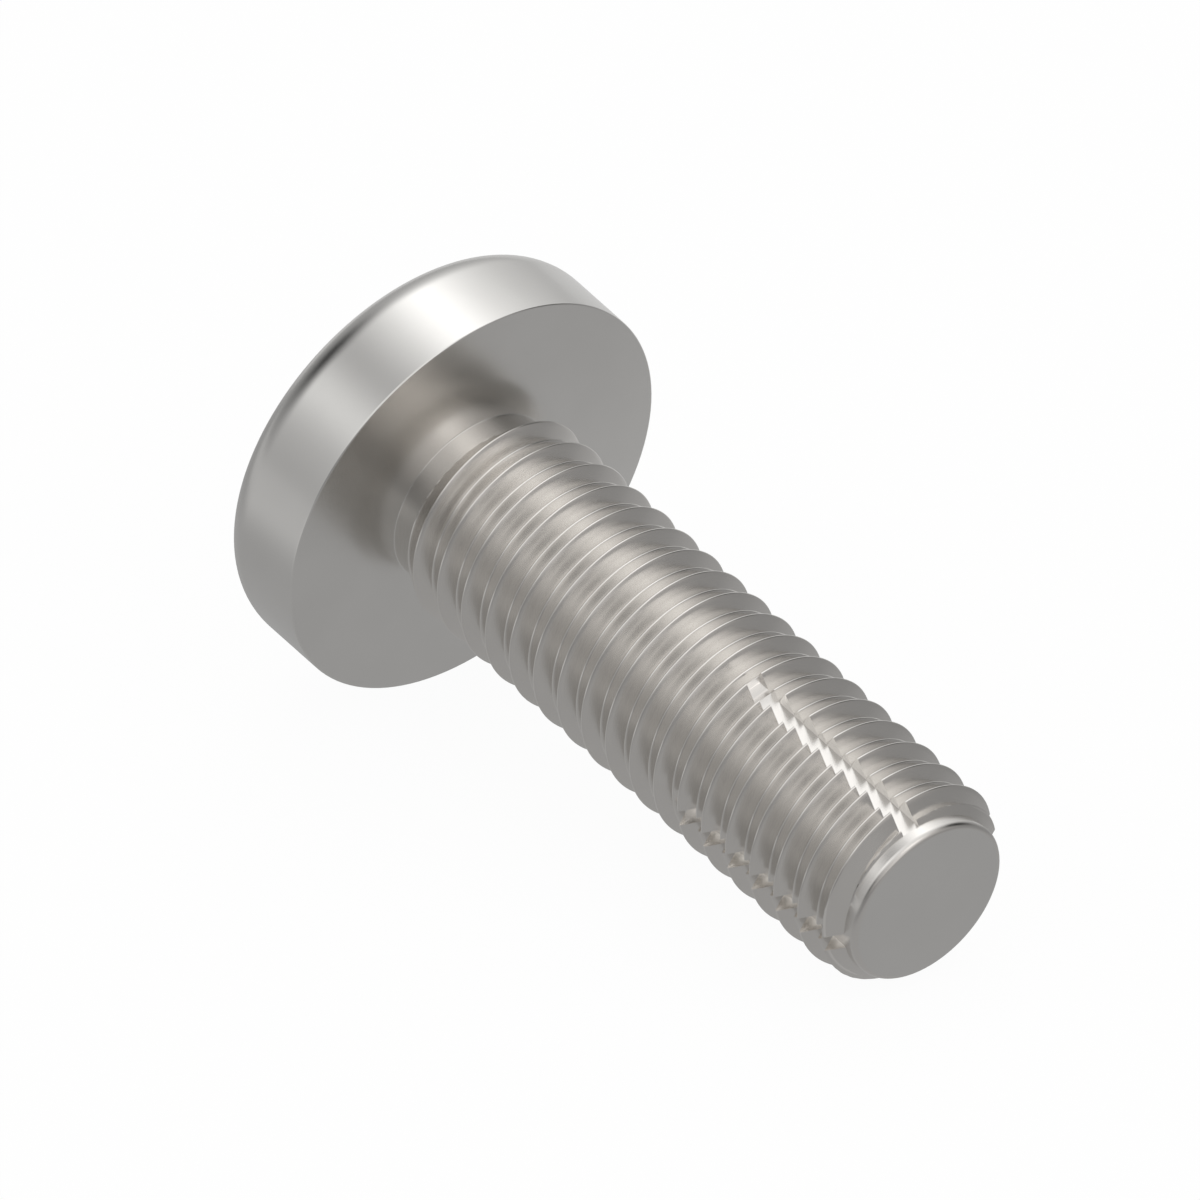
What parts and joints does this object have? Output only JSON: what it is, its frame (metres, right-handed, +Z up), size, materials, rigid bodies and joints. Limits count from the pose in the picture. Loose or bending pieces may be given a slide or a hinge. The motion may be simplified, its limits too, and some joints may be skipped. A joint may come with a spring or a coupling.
{
  "type": "pan head thread-cutting screw",
  "caption": "Stainless pan head self-tapping screw with a straight shank, a high and low thread, cutting flutes at the flat tip and a cross recess.",
  "frame": {"origin": "on the ground, under the middle of the bounding box of the screw as it lies at rest", "axes": "+X along the ground from the head towards the tip, +Z up; the screw's own axis lies in the XZ plane and drops about 9.7 degrees towards the tip"},
  "size_m": [0.0184, 0.0094, 0.0097],
  "materials": {
    "stainless": "satin"
  },
  "bodies": {
    "root": {"screw": "stainless"}
  },
  "joints": []
}
